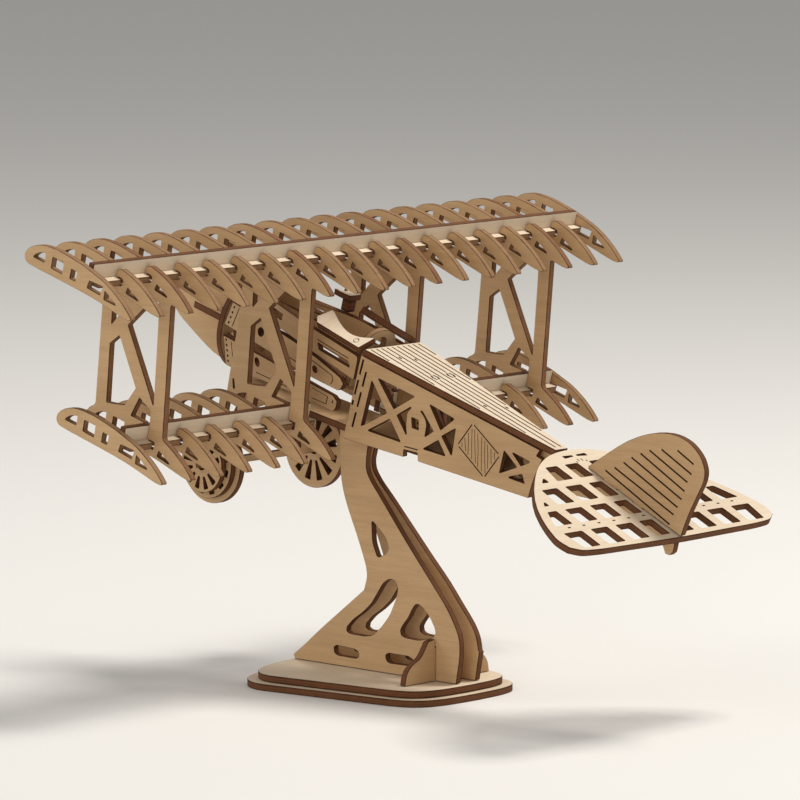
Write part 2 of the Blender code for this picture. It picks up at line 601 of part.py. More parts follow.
def stand():
    slim = STAND_OUTLINE[:22] + STAND_SLIM
    for side, x, outline in (("port", STAND_INNER, STAND_OUTLINE),
                             ("starboard", -STAND_INNER - SHEET, slim)):
        holes = STAND_HOLES if side == "port" else STAND_HOLES[1:]
        plate("stand_plate_" + side, outline, [soften(h, 0.8, 1) for h in holes],
              lambda y, z, w, x=x: place(x + w, y, z), TAN)
    half = [(0.0, 0.2)] + BRACE_HALF + [(0.0, 11.7)]
    plate("stand_cross_brace", mirror_half(half), [],
          lambda x, z, w: place(x, BRACE_REAR - SHEET + w, z), TAN)
    upper = [(x + BASE_SIDE, y) for x, y in mirror_half(BASE_HALF)]
    plate("base_plate_upper", upper, [], lambda x, y, w: place(x, y, w - SHEET), PALE)
    grow_x = 1.0 + BASE_STEP / BASE_HALF[7][0]
    middle = 0.5 * (BASE_HALF[0][1] + BASE_HALF[-1][1])
    grow_y = 1.0 + 2.0 * BASE_STEP / (BASE_HALF[0][1] - BASE_HALF[-1][1])
    lower = [(BASE_SIDE + (x - BASE_SIDE) * grow_x, middle + (y - middle) * grow_y)
             for x, y in upper]
    plate("base_plate_lower", lower, [], lambda x, y, w: place(x, y, w - SHIFT_Z), PALE)


def main():
    clear_scene()
    ribs()
    for name, k in (("strut_frame_port_outer", 3), ("strut_frame_port_inner", 8),
                    ("strut_frame_starboard_inner", 12), ("strut_frame_starboard_outer", 17)):
        strut_frame(name, k, k in (8, 12))
    spars()
    fuselage_side("fuselage_side_port", 1.0)
    fuselage_side("fuselage_side_starboard", -1.0)
    decks()
    headrest()
    formers()
    staves()
    gun_block()
    spinner(propeller())
    undercarriage()
    tail()
    stand()


main()
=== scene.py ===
"""Looks of the laser-cut plywood biplane on its stand.

Each sheet is rebuilt from its CAD solid: the outline is read off the solid's flat side, bends
that stand for a curve are rounded, the cut edges get a small scorched chamfer, and engraved lines
are cut into the faces as real grooves. Lengths are in millimetres until a point is placed.
"""
import json
import math

import bmesh
import bpy
import numpy as np
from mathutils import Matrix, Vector
from mathutils.geometry import delaunay_2d_cdt

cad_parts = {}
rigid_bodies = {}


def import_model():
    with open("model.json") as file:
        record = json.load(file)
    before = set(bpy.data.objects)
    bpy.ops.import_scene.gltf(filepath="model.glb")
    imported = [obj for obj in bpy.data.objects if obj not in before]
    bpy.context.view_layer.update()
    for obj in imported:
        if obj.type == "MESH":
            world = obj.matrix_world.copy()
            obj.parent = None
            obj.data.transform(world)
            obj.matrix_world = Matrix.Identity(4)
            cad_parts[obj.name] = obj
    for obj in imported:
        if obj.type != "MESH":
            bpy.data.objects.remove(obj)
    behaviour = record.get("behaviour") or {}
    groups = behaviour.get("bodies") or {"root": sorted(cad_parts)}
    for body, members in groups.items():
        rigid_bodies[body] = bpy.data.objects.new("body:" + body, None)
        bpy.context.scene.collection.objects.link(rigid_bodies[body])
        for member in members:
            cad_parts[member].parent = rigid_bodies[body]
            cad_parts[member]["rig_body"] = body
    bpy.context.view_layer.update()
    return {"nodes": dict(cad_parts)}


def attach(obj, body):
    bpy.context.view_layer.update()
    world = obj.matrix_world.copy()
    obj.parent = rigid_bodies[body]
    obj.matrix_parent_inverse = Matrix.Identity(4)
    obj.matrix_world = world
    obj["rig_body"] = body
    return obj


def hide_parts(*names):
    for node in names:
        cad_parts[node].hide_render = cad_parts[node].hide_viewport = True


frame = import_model()

MM = 0.001
CHAMFER = 0.14                      # scorched arris along every cut edge
ENGRAVE, LINE = 0.28, 0.34          # depth and width of an engraved line
GROOVE_SLOPE = 0.06                 # how far a groove's walls lean in
RIM_GAP = 0.35                      # least wood between a rim and a hole or groove
CORNER = math.radians(34.0)         # a sharper bend is a corner, a lesser one part of a curve
STRAIGHT = math.radians(1.0)        # a lesser bend is left out
CURVE_STEP = math.radians(6.0)      # bend between two points of a rounded curve
CORNER_STEP = math.radians(28.0)    # the same at an eased corner
CORNER_RADIUS = 0.22                # of an eased corner, at least
SHARP_RADIUS = 0.18                 # a corner with no room for more stays sharp
SHARP_ABOVE = math.radians(31.0)    # a sharper edge between two faces isn't shaded smooth
ARC_SHARE = 0.48                    # most of a side that the arc at one end may take
FACE, EDGE, GROOVE = 0, 1, 2        # a sheet's materials
AIM = Vector((0.0, 0.0, 0.09))      # where the lights point, in metres
# Sheets given the pale tint: painted light, a lighter copy of the tan wood for faces lit from
# above.
TOP_LIT_PIECES = ("rear_deck", "cockpit_coaming", "cowl_top_block", "tailplane", "base_plate_lower",
               "base_plate_upper", "upper_spar", "lower_spar_port", "lower_spar_starboard")


# ---- camera, light and floor ---------------------------------------------------------------

def camera():
    data = bpy.data.cameras.new("camera")
    data.sensor_width = 36.0
    data.lens = 287.3
    ob = bpy.data.objects.new("camera", data)
    ob.location = (1.5795, 1.4780, 0.3801)
    ob.rotation_euler = (math.radians(82.586), 0.0, math.radians(133.016))
    bpy.context.scene.collection.objects.link(ob)
    bpy.context.scene.camera = ob


def area_light(name, place, size, power, colour=(1.0, 1.0, 1.0)):
    data = bpy.data.lights.new(name, "AREA")
    data.shape = "DISK"
    data.size = size
    data.energy = power
    data.color = colour
    ob = bpy.data.objects.new(name, data)
    ob.location = place
    ob.rotation_euler = (AIM - ob.location).to_track_quat("-Z", "Y").to_euler()
    bpy.context.scene.collection.objects.link(ob)


def studio():
    area_light("key", (-0.55, 0.30, 1.45), 0.50, 21.0, (1.0, 0.96, 0.90))
    area_light("fill", (1.9, 0.9, 0.7), 1.6, 13.0, (1.0, 0.95, 0.88))
    area_light("side", (0.9, -1.2, 0.9), 1.0, 6.0, (1.0, 0.97, 0.93))
    world = bpy.data.worlds.new("studio")
    bpy.context.scene.world = world
    world.use_nodes = True
    sky = world.node_tree.nodes["Background"]
    sky.inputs["Color"].default_value = (0.90, 0.89, 0.87, 1.0)
    sky.inputs["Strength"].default_value = 0.42
    bpy.context.scene.view_settings.view_transform = "Standard"


def floor():
    mesh = bpy.data.meshes.new("floor")
    half = 3.0
    mesh.from_pydata([(-half, -half, 0), (half, -half, 0), (half, half, 0), (-half, half, 0)], [],
                     [(0, 1, 2, 3)])
    ob = bpy.data.objects.new("floor", mesh)
    bpy.context.scene.collection.objects.link(ob)
    mat = bpy.data.materials.new("floor_paint")
    mat.use_nodes = True
    shader = mat.node_tree.nodes["Principled BSDF"]
    shader.inputs["Base Color"].default_value = (0.74, 0.73, 0.71, 1.0)
    shader.inputs["Roughness"].default_value = 0.75
    mesh.materials.append(mat)


# ---- wood ----------------------------------------------------------------------------------

BLACK, WHITE = (0.0, 0.0, 0.0), (1.0, 1.0, 1.0)


class Wood:
    """Short calls for building one wood's node tree.

    A mesh's "ply" attribute gives each face corner its place in the wood, and every pattern is
    laid out over that place.
    """

    def __init__(self, name, specular):
        self.mat = bpy.data.materials.new(name)
        self.mat.use_nodes = True
        self.tree = self.mat.node_tree
        self.shader = self.tree.nodes["Principled BSDF"]
        self.shader.inputs["Specular IOR Level"].default_value = specular
        self.at = self.add("ShaderNodeAttribute", attribute_name="ply").outputs["Vector"]

    def add(self, kind, **values):
        node = self.tree.nodes.new(kind)
        for key, value in values.items():
            setattr(node, key, value)
        return node

    def link(self, a, b):
        self.tree.links.new(a, b)

    def part(self, axis):
        """One component of the place in the wood."""
        split = self.add("ShaderNodeSeparateXYZ")
        self.link(self.at, split.inputs[0])
        return split.outputs[axis]

    def math(self, operation, a, b):
        node = self.add("ShaderNodeMath", operation=operation)
        for socket, value in zip(node.inputs, (a, b)):
            if isinstance(value, float):
                socket.default_value = value
            else:
                self.link(value, socket)
        return node.outputs[0]

    def weighed(self, *parts):
        """The sum of the values, each times its weight."""
        terms = [self.math("MULTIPLY", value, weight) for value, weight in parts]
        total = terms[0]
        for term in terms[1:]:
            total = self.math("ADD", total, term)
        return total

    def noise(self, stretch, detail, rough):
        """Noise that changes by stretch along and across the grain."""
        scale = self.add("ShaderNodeVectorMath", operation="MULTIPLY")
        self.link(self.at, scale.inputs[0])
        scale.inputs[1].default_value = (*stretch, 1.0)
        node = self.add("ShaderNodeTexNoise")
        self.link(scale.outputs[0], node.inputs["Vector"])
        node.inputs["Scale"].default_value = 1.0
        node.inputs["Detail"].default_value = detail
        node.inputs["Roughness"].default_value = rough
        return node.outputs["Fac"]

    def ramp(self, value, stops):
        node = self.add("ShaderNodeValToRGB")
        self.link(value, node.inputs["Fac"])
        marks = node.color_ramp.elements
        while len(marks) < len(stops):
            marks.new(0.5)
        for mark, (place, colour) in zip(marks, stops):
            mark.position = place
            mark.color = (*colour, 1.0)
        return node.outputs["Color"]

    def mix(self, factor, a, b):
        node = self.add("ShaderNodeMix", data_type="RGBA")
        for socket, value in ((node.inputs["Factor"], factor), (node.inputs[6], a),
                              (node.inputs[7], b)):
            if isinstance(value, tuple):
                socket.default_value = (*value, 1.0)
            elif isinstance(value, float):
                socket.default_value = value
            else:
                self.link(value, socket)
        return node.outputs[2]

    def bump(self, height, strength, distance):
        node = self.add("ShaderNodeBump")
        node.inputs["Strength"].default_value = strength
        node.inputs["Distance"].default_value = distance
        self.link(height, node.inputs["Height"])
        self.link(node.outputs["Normal"], self.shader.inputs["Normal"])


def face_wood(name, dark, light, pore):
    """Sanded veneer: x is along the grain, y across it, and z is the sheet's tone."""
    n = Wood(name, specular=0.28)
    fibre = n.noise((0.09, 1.9), detail=4.0, rough=0.6)
    streak = n.noise((0.018, 0.42), detail=3.0, rough=0.5)
    cloud = n.noise((0.035, 0.05), detail=2.0, rough=0.5)
    blend = n.weighed((fibre, 0.42), (streak, 0.38), (cloud, 0.36), (n.part("Z"), 0.22))
    colour = n.ramp(blend, [(0.30, dark), (0.92, light)])
    pores = n.noise((0.55, 7.5), detail=2.0, rough=0.5)
    pits = n.math("MULTIPLY", n.ramp(pores, [(0.63, BLACK), (0.74, WHITE)]), 0.35)
    n.link(n.mix(pits, colour, pore), n.shader.inputs["Base Color"])
    n.link(n.math("ADD", n.math("MULTIPLY", fibre, 0.22), 0.5), n.shader.inputs["Roughness"])
    relief = n.math("SUBTRACT", fibre, n.math("MULTIPLY", pits, 0.8))
    n.bump(relief, strength=0.35, distance=0.00006)
    return n.mat


def edge_wood(name, char, brown, core):
    """A laser-cut edge: x runs along the cut, y across the sheet from 0 to 1."""
    n = Wood(name, specular=0.2)
    layers = n.ramp(n.part("Y"), [(0.0, char), (0.07, char), (0.13, brown), (0.36, core),
                                  (0.42, brown), (0.60, core), (0.87, brown), (0.93, char)])
    burn = n.ramp(n.noise((0.16, 0.5), detail=3.0, rough=0.6), [(0.34, BLACK), (0.68, WHITE)])
    colour = n.mix(burn, layers, n.mix(0.55, layers, core))
    comb = n.noise((3.2, 0.6), detail=2.0, rough=0.5)
    colour = n.mix(n.math("MULTIPLY", comb, 0.5), colour, char)
    n.link(colour, n.shader.inputs["Base Color"])
    n.shader.inputs["Roughness"].default_value = 0.78
    n.bump(comb, strength=0.5, distance=0.00008)
    return n.mat


def scorched(name, dark, light):
    """The burnt bed and walls of a groove."""
    n = Wood(name, specular=0.15)
    soot = n.noise((0.9, 0.9), detail=3.0, rough=0.6)
    n.link(n.ramp(soot, [(0.3, dark), (0.75, light)]), n.shader.inputs["Base Color"])
    n.shader.inputs["Roughness"].default_value = 0.85
    n.bump(soot, strength=0.4, distance=0.00005)
    return n.mat


def woods():
    """The materials of a sheet's faces, cut edges and grooves, by its finish."""
    tan = face_wood("birch_tan", (0.36, 0.218, 0.102), (0.56, 0.372, 0.200), (0.20, 0.110, 0.048))
    # Painted light: the pale wood is the tan wood made lighter, for the up-facing sheets lit from
    # above.
    pale = face_wood("birch_pale", (0.57, 0.445, 0.31), (0.76, 0.65, 0.505), (0.42, 0.30, 0.19))
    edge = edge_wood("cut_edge", (0.022, 0.007, 0.003), (0.095, 0.032, 0.012),
                     (0.20, 0.082, 0.032))
    # Painted light: the struts' cut edges are a lighter copy of the cut edge, for their backlit
    # rear edges.
    strut_edge = edge_wood("strut_edge", (0.024, 0.008, 0.0035), (0.15, 0.062, 0.026),
                           (0.30, 0.145, 0.066))
    # Painted light: the ribs' cut edges are a still lighter copy of the cut edge, for edges lit
    # from above; the spars and the headrest arch share it.
    rib_edge = edge_wood("rib_edge", (0.026, 0.009, 0.004), (0.21, 0.105, 0.046),
                         (0.40, 0.235, 0.12))
    groove = scorched("engraving", (0.022, 0.008, 0.004), (0.075, 0.030, 0.013))
    return {"tan": [tan, edge, groove], "pale": [pale, edge, groove],
            "rib": [tan, rib_edge, groove], "spar": [pale, rib_edge, groove],
            "strut": [tan, strut_edge, groove]}


# ---- outlines ------------------------------------------------------------------------------

def sheet_axes(bm):
    """The sheet's long directions and its normal, from the largest flat side."""
    area = {}
    for face in bm.faces:
        n = face.normal
        key = tuple(round(abs(c), 2) for c in n)
        total, first = area.get(key, (0.0, n.copy()))
        area[key] = (total + face.calc_area(), first)
    n = max(area.values(), key=lambda item: item[0])[1].normalized()
    upright = abs(n.x) > 0.9
    lead = n.x if upright else n.z if abs(n.z) > 0.5 else -n.y
    if lead < 0.0:
        n = -n
    if upright:
        b = Vector((0.0, 0.0, 1.0))
        a = b.cross(n)
    else:
        a = (Vector((1.0, 0.0, 0.0)) - n * n.x).normalized()
        b = n.cross(a)
    return a, b, n


def outline_of(node):
    """(loops, axes, low, high): the sheet's outline and holes in mm, material on the left."""
    bm = bmesh.new()
    bm.from_mesh(node.data)
    bmesh.ops.remove_doubles(bm, verts=bm.verts, dist=2e-6)
    bm.normal_update()
    a, b, n = sheet_axes(bm)
    heights = [v.co.dot(n) for v in bm.verts]
    low, high = min(heights), max(heights)
    top = [f for f in bm.faces if all(v.co.dot(n) > high - 1e-5 for v in f.verts)]
    after = {}
    for face in top:
        for corner in face.loops:
            if not any(f in top for f in corner.edge.link_faces if f is not face):
                after[corner.vert] = corner.link_loop_next.vert
    loops = []
    while after:
        vert = next(iter(after))
        loop = []
        while vert in after:
            loop.append((vert.co.dot(a) / MM, vert.co.dot(b) / MM))
            vert = after.pop(vert)
        loops.append(loop)
    bm.free()
    loops.sort(key=lambda loop: -abs(signed_area(loop)))
    return loops, (a, b, n), low / MM, high / MM


def signed_area(loop):
    return 0.5 * sum(p[0] * q[1] - q[0] * p[1] for p, q in zip(loop, loop[1:] + loop[:1]))


def turned(loop, clockwise):
    """The loop, run clockwise or the other way."""
    return list(reversed(loop)) if (signed_area(loop) < 0) != clockwise else list(loop)


def rounded(loop, reach=3.0, nick=0.3):
    """Round the bends that stand for a curve by reach, and ease the sharp corners by nick.

    Each bend becomes an arc that starts that far from it, or nearly half a side away at most.
    """
    out = []
    count = len(loop)
    for i in range(count):
        p, q, r = (Vector(loop[k % count]) for k in (i - 1, i, i + 1))
        before, behind = q - p, r - q
        if before.length < 1e-6 or behind.length < 1e-6:
            continue
        u, v = before.normalized(), behind.normalized()
        turn = math.atan2(u.x * v.y - u.y * v.x, u.dot(v))
        if abs(turn) < STRAIGHT:
            continue
        sharp = abs(turn) > CORNER
        open_up = math.tan(0.5 * (math.pi - abs(turn)))
        cut = max(nick, CORNER_RADIUS / open_up) if sharp else reach
        cut = min(cut, ARC_SHARE * before.length, ARC_SHARE * behind.length)
        if sharp and cut * open_up < SHARP_RADIUS:
            out.append(q)
            continue
        start = q - u * cut
        middle = start + Vector((-u.y, u.x)) * math.copysign(cut * open_up, turn)
        steps = max(2, round(abs(turn) / (CORNER_STEP if sharp else CURVE_STEP)))
        for k in range(steps + 1):
            arm, angle = start - middle, turn * k / steps
            c, d = math.cos(angle), math.sin(angle)
            out.append(middle + Vector((arm.x * c - arm.y * d, arm.x * d + arm.y * c)))
    kept = [p for i, p in enumerate(out) if (p - out[i - 1]).length > 0.02]
    return [(p.x, p.y) for p in kept]


def circle(x, y, radius, count, way=1, high=None):
    """Points round a circle, or an ellipse that is high in y; clockwise where way is -1."""
    turns = [way * 2 * math.pi * k / count for k in range(count)]
    return [(x + radius * math.cos(a), y + (high or radius) * math.sin(a)) for a in turns]


def divided(loop, longest):
    """Add points so that no side is longer than longest."""
    out = []
    for p, q in zip(loop, loop[1:] + loop[:1]):
        steps = max(1, math.ceil(math.dist(p, q) / longest))
        out += [(p[0] + (q[0] - p[0]) * k / steps, p[1] + (q[1] - p[1]) * k / steps)
                for k in range(steps)]
    return out


def inset(loop, amount):
    """Move each point to the left of the way the loop runs."""
    out = []
    count = len(loop)
    for i in range(count):
        p, q, r = (Vector(loop[k % count]) for k in (i - 1, i, i + 1))
        u, v = (q - p).normalized(), (r - q).normalized()
        side = Vector((-u.y - v.y, u.x + v.x))
        if side.length < 1e-6:
            side = Vector((-u.y, u.x))
        side.normalize()
        grow = min(2.5, 1.0 / max(0.2, side.dot(Vector((-u.y, u.x)))))
        moved = q + side * amount * grow
        out.append((moved.x, moved.y))
    return out


def fill(loops, inner=()):
    """Triangles between the loops, as indices into their points and then inner's."""
    points, edges = [], []
    for loop in loops:
        start, count = len(points), len(loop)
        points += [Vector(p) for p in loop]
        edges += [(start + i, start + (i + 1) % count) for i in range(count)]
    points += [Vector(p) for p in inner]
    made = delaunay_2d_cdt(points, edges, [], 1, 1e-7, True)
    verts, faces, origin = made[0], made[2], made[3]
    if len(verts) != len(points):
        raise ValueError("outlines cross: %d points became %d" % (len(points), len(verts)))
    spot = np.array([[verts[i] for i in face] for face in faces]).mean(axis=1)
    return [[origin[i][0] for i in face] for face, kept in zip(faces, inside(spot, loops)) if kept]


# ---- sheets --------------------------------------------------------------------------------

class Sheet:
    """A mesh in the making: points, and faces with a material and a place in the wood."""

    def __init__(self, place, tone, shift, mirrored):
        self.place, self.tone, self.shift, self.mirrored = place, tone, shift, mirrored
        self.points, self.faces = [], []

    def ring(self, loop, w):
        """Place a loop at height w in the sheet; gives its points' numbers."""
        start = len(self.points)
        self.points += [self.place(a, b, w) for a, b in loop]
        return list(range(start, len(self.points)))

    def wall(self, loop, low, high, w_low, w_high, thick, material):
        """Quads from one ring up to the next, right side out."""
        run = 0.0
        for i, here in enumerate(loop):
            j = (i + 1) % len(loop)
            step = math.dist(here, loop[j])
            ends = [(run, w_low), (run + step, w_low), (run + step, w_high), (run, w_high)]
            wood = [(x + self.shift, w / thick, self.tone) for x, w in ends]
            self.faces.append(((low[i], low[j], high[j], high[i]), material, wood))
            run += step

    def flat(self, loops, rings, up, material, inner=(), w=0.0):
        """Triangles between rings already placed, and inner points to be placed at w."""
        index = [k for ring in rings for k in ring]
        flat = [p for loop in loops for p in loop] + list(inner)
        index += self.ring(inner, w)
        for tri in fill(loops, inner):
            tri = tri if up else tri[::-1]
            wood = [(flat[k][0] + self.shift, flat[k][1], self.tone) for k in tri]
            self.faces.append((tuple(index[k] for k in tri), material, wood))

    def object(self, name, materials):
        if self.mirrored:
            self.faces = [(f[0][::-1], f[1], f[2][::-1]) for f in self.faces]
        mesh = bpy.data.meshes.new(name)
        mesh.from_pydata(self.points, [], [f[0] for f in self.faces])
        wood = mesh.attributes.new("ply", "FLOAT_VECTOR", "CORNER")
        flat = [c for _, _, corners in self.faces for corner in corners for c in corner]
        wood.data.foreach_set("vector", flat)
        for material in materials:
            mesh.materials.append(material)
        for poly, face in zip(mesh.polygons, self.faces):
            poly.material_index = face[1]
            poly.use_smooth = True
        mesh.set_sharp_from_angle(angle=SHARP_ABOVE)
        mesh.validate()
        ob = bpy.data.objects.new(name, mesh)
        bpy.context.scene.collection.objects.link(ob)
        return ob


def grooves_on(sheet, cuts, w, sign, thick):
    """Cut engraved lines into a face; gives the rims as holes for the face to leave."""
    rims, rings = [], []
    for cut, depth in cuts:
        cut = turned(cut, True)
        base = inset(cut, -GROOVE_SLOPE)
        rim, bed = sheet.ring(cut, w), sheet.ring(base, w - sign * depth)
        low, high = (bed, rim) if sign > 0 else (rim, bed)
        sheet.wall(cut, low, high, 0.5 * thick, 0.5 * thick + depth, thick, GROOVE)
        sheet.flat([base[::-1]], [bed[::-1]], sign > 0, GROOVE)
        rims.append(cut)
        rings.append(rim)
    return rims, rings


def build_sheet(name, loops, thick, place, materials, tone, shift, top=(), under=(), mesh_step=0.0,
                mirrored=False):
    """A cut sheet with chamfered edges and engraved lines, as one closed mesh.

    Its faces, cut edges and grooves take the three materials in turn. tone (0 to 1) and shift
    say which part of the wood it was cut from. A sheet that bends needs a mesh_step.
    """
    sheet = Sheet(place, tone, shift, mirrored)
    loops = [turned(loop, i > 0) for i, loop in enumerate(loops)]
    top, under = cleared(top, loops), cleared(under, loops)
    if mesh_step:
        top = [(divided(cut, mesh_step), depth) for cut, depth in top]
    faces, upper, lower = [], [], []
    for loop in loops:
        face = inset(loop, CHAMFER)
        levels = [(face, 0.0), (loop, CHAMFER), (loop, thick - CHAMFER), (face, thick)]
        rings = [sheet.ring(points, w) for points, w in levels]
        for k in range(3):
            sheet.wall(loop, rings[k], rings[k + 1], levels[k][1], levels[k + 1][1], thick, EDGE)
        faces.append(face)
        upper.append(rings[3])
        lower.append(rings[0])
    for cuts, w, sign, rings in ((top, thick, 1, upper), (under, 0.0, -1, lower)):
        rims, rim_rings = grooves_on(sheet, cuts, w, sign, thick)
        inner = grid_inside(faces + rims, mesh_step) if mesh_step else ()
        sheet.flat(faces + rims, rings + rim_rings, sign > 0, FACE, inner, w)
    return sheet.object(name, materials)


def inside(spots, loops):
    """Which of the spots lie inside the outline and outside its holes."""
    x, y = np.asarray(spots, dtype=float).T
    odd = np.zeros(len(x), dtype=bool)
    for loop in loops:
        for p, q in zip(loop, loop[1:] + loop[:1]):
            if p[1] != q[1]:
                over = (p[1] > y) != (q[1] > y)
                odd ^= over & (x < p[0] + (y - p[1]) * (q[0] - p[0]) / (q[1] - p[1]))
    return odd


def grid_inside(loops, step):
    """A grid of points inside the outline, for a sheet that bends.

    It starts a little over a step in, so that its rows and columns miss the outline's points.
    """
    xs, ys = [p[0] for p in loops[0]], [p[1] for p in loops[0]]
    across = np.arange(min(xs) + 1.013 * step, max(xs), step)
    along = np.arange(min(ys) + 1.017 * step, max(ys), step)
    spots = np.array([(x, y) for x in across for y in along])
    if not len(spots):
        return []
    rim = np.array([q for loop in loops for q in loop])
    near = np.linalg.norm(spots[:, None, :] - rim[None, :, :], axis=2).min(axis=1)
    return [tuple(p) for p in spots[(near > 0.35 * step) & inside(spots, loops)]]


# ---- engraved lines ------------------------------------------------------------------------

def stroke(points, width=LINE, depth=ENGRAVE):
    """A cut along an open line."""
    return list(points), width, depth


def dot(x, y, radius, depth):
    """A small round pit."""
    return circle(x, y, radius, 8), None, depth


def ribbon(points, width):
    """The outline of a line of this width."""
    left, right = [], []
    count = len(points)
    for i in range(count):
        q = Vector(points[i])
        u = (q - Vector(points[max(i - 1, 0)])).normalized()
        v = (Vector(points[min(i + 1, count - 1)]) - q).normalized()
        u, v = (u if u.length else v), (v if v.length else u)
        side = Vector((-u.y - v.y, u.x + v.x)).normalized()
        grow = min(2.0, 1.0 / max(0.3, side.dot(Vector((-u.y, u.x)))))
        left.append(tuple(q + side * 0.5 * width * grow))
        right.append(tuple(q - side * 0.5 * width * grow))
    return left + right[::-1]


def clearance(spots, loops):
    """How far each spot lies from the nearest of the loops."""
    spots = np.asarray(spots, dtype=float)
    a = np.array([p for loop in loops for p in loop], dtype=float)
    b = np.array([p for loop in loops for p in loop[1:] + loop[:1]], dtype=float)
    way = b - a
    long = np.maximum((way ** 2).sum(axis=1), 1e-12)
    t = ((spots[:, None, :] - a) * way).sum(axis=2) / long
    near = a + np.clip(t, 0.0, 1.0)[:, :, None] * way
    return np.linalg.norm(spots[:, None, :] - near, axis=2).min(axis=1)


def runs_inside(points, loops, clear):
    """The parts of a straight line, 0.8 or longer, that keep clear of the loops."""
    a, b = np.array(points[0], dtype=float), np.array(points[1], dtype=float)
    steps = max(2, int(np.linalg.norm(b - a) / 0.25))
    spots = a + (b - a) * (np.arange(steps + 1) / steps)[:, None]
    good = inside(spots, loops) & (clearance(spots, loops) > clear)
    out, start = [], None
    for i in range(steps + 2):
        fine = i <= steps and good[i]
        if fine and start is None:
            start = i
        elif not fine and start is not None:
            if np.linalg.norm(spots[i - 1] - spots[start]) > 0.8:
                out.append([tuple(spots[start]), tuple(spots[i - 1])])
            start = None
    return out


def cleared(cuts, loops):
    """Cuts as (polygon, depth), shortened or dropped where they meet a rim or one another."""
    kept = []
    for points, width, depth in cuts:
        if width is None:
            shapes = [points]
        elif len(points) == 2:
            runs = runs_inside(points, loops, RIM_GAP + 0.5 * width)
            shapes = [ribbon(run, width) for run in runs]
        else:
            shapes = [ribbon(points, width)]
        for shape in shapes:
            rim = divided(shape, 0.4)
            if not inside(rim, loops).all() or clearance(rim, loops).min() < 0.8 * RIM_GAP:
                continue
            if kept and clearance(rim, [k for k, _ in kept]).min() < 0.15:
                continue
            kept.append((shape, depth))
    return kept


def broken(a, b, dash, gap, start):
    """Short engraved dashes along the line from a to b."""
    a, b = Vector(a), Vector(b)
    way = (b - a).normalized()
    out, run = [], start
    while run + dash <= (b - a).length:
        out.append(stroke([tuple(a + way * run), tuple(a + way * (run + dash))], 0.8, 0.7))
        run += dash + gap
    return out


# ---- engraving, piece by piece ----------------------------------------------------------------
# Each function takes at(x, y, z), which gives the sheet's own place of a point of the model
# (millimetres in the frame the CAD's tables use), and gives a list of cuts.

TABLE_SHIFT = (23.2, 5.0)           # from those tables to this frame, in y and z
DECK_FRONT = (-22.2, 112.4)         # y and z of the rear deck's front edge
DECK_TILT = math.radians(20.2)
DECK_LONG = 82.2
DECK_HALF, DECK_TAPER = 14.0, 10.9  # half its width in front, and how much less at the rear
RIM_EDGE = 14.1                     # x of the cockpit rim's outer edge
RIM_ROLL = math.radians(28.0)
SIDE_FRONT = (14.5, -28.0)          # x and y of the fuselage side's front foot
SIDE_REACH, SIDE_TAPER = 73.0, 9.9  # how far it runs back and in from there
TAIL_REAR = (107.7, 59.9)           # y and z of the tailplane's rear edge
TAIL_TILT = math.radians(25.5)
RING = (-92.3, 115.2)               # y and z of the nose ring's middle
THRUST = math.radians(14.6)         # how far the thrust line points down
LOZENGE = (52.6, 81.4)              # its middle, aft of the side's front foot and up


def on_deck(at, x, s, lift=0.0):
    """A point s behind the rear deck's front edge, and lifted off the deck."""
    cs, sn = math.cos(DECK_TILT), math.sin(DECK_TILT)
    return at(x, DECK_FRONT[0] + s * cs + lift * sn, DECK_FRONT[1] - s * sn + lift * cs)


def on_rim(at, x, s):
    """A point of the cockpit rim's port half."""
    return on_deck(at, x, s, (RIM_EDGE - x) * math.tan(RIM_ROLL))


def on_side(at, u, z, sign):
    """A point u aft of the front foot of the fuselage's rear side."""
    long = math.hypot(SIDE_TAPER, SIDE_REACH)
    x, y = SIDE_FRONT
    return at(sign * (x - SIDE_TAPER * u / long), y + SIDE_REACH * u / long, z)


def on_tail(at, x, s):
    """A point of the tailplane, s behind its rear edge."""
    return at(x, TAIL_REAR[0] + s * math.cos(TAIL_TILT), TAIL_REAR[1] - s * math.sin(TAIL_TILT))


def on_ring(x, h, behind=0.0):
    """A point h above the nose ring's middle and behind its middle plane."""
    cs, sn = math.cos(THRUST), math.sin(THRUST)
    return x, RING[0] + h * sn + behind * cs, RING[1] + h * cs - behind * sn


def fin_lines(at):
    """Long lines across the fin, each from (y, z) to (y, z)."""
    rows = [((75.3, 79.0), (103.4, 63.7)), ((79.3, 80.3), (105.1, 67.1)),
            ((83.2, 82.4), (106.8, 69.7)), ((86.7, 84.4), (108.5, 72.5)),
            ((90.6, 86.1), (109.8, 75.3)), ((94.5, 87.5), (111.0, 78.4)),
            ((99.7, 88.3), (112.7, 81.2)), ((106.6, 88.6), (113.6, 84.6))]
    return [stroke([at(0, *a), at(0, *b)], 0.62, 0.5) for a, b in rows]


def deck_lines(at):
    """Planking lines, two of them broken by a pointed mark, and small ticks."""
    def line(points, width, depth=0.6):
        return stroke([on_deck(at, x, s) for x, s in points], width, depth)

    cuts = []
    for i in range(10):
        x = -11.7 + 2.6 * i
        end = min(80.5, (DECK_HALF - abs(x) - 1.0) / DECK_TAPER * DECK_LONG)
        for a, b in [(0.6, 22.6), (27.0, end)] if i in (3, 6) else [(0.6, end)]:
            cuts.append(line([(x, a), (x, b)], 0.66, 0.5))
    for x in (-3.9, 3.9):
        for side in (-1.0, 1.0):
            near, far = x + 0.5 * side, x + 1.2 * side
            cuts.append(line([(near, 23.1), (far, 24.8), (near, 26.5)], 0.75))
    for x, s in ((5.2, 8.0), (0.0, 10.5), (9.4, 6.6), (-5.2, 50.0), (2.6, 47.0)):
        cuts.append(line([(x, s), (x, s + 1.6)], 0.8))
    for x in (3.4, 4.6):
        cuts.append(line([(x, 66.2), (x - 0.3, 69.6)], 0.42, 0.5))
    return cuts


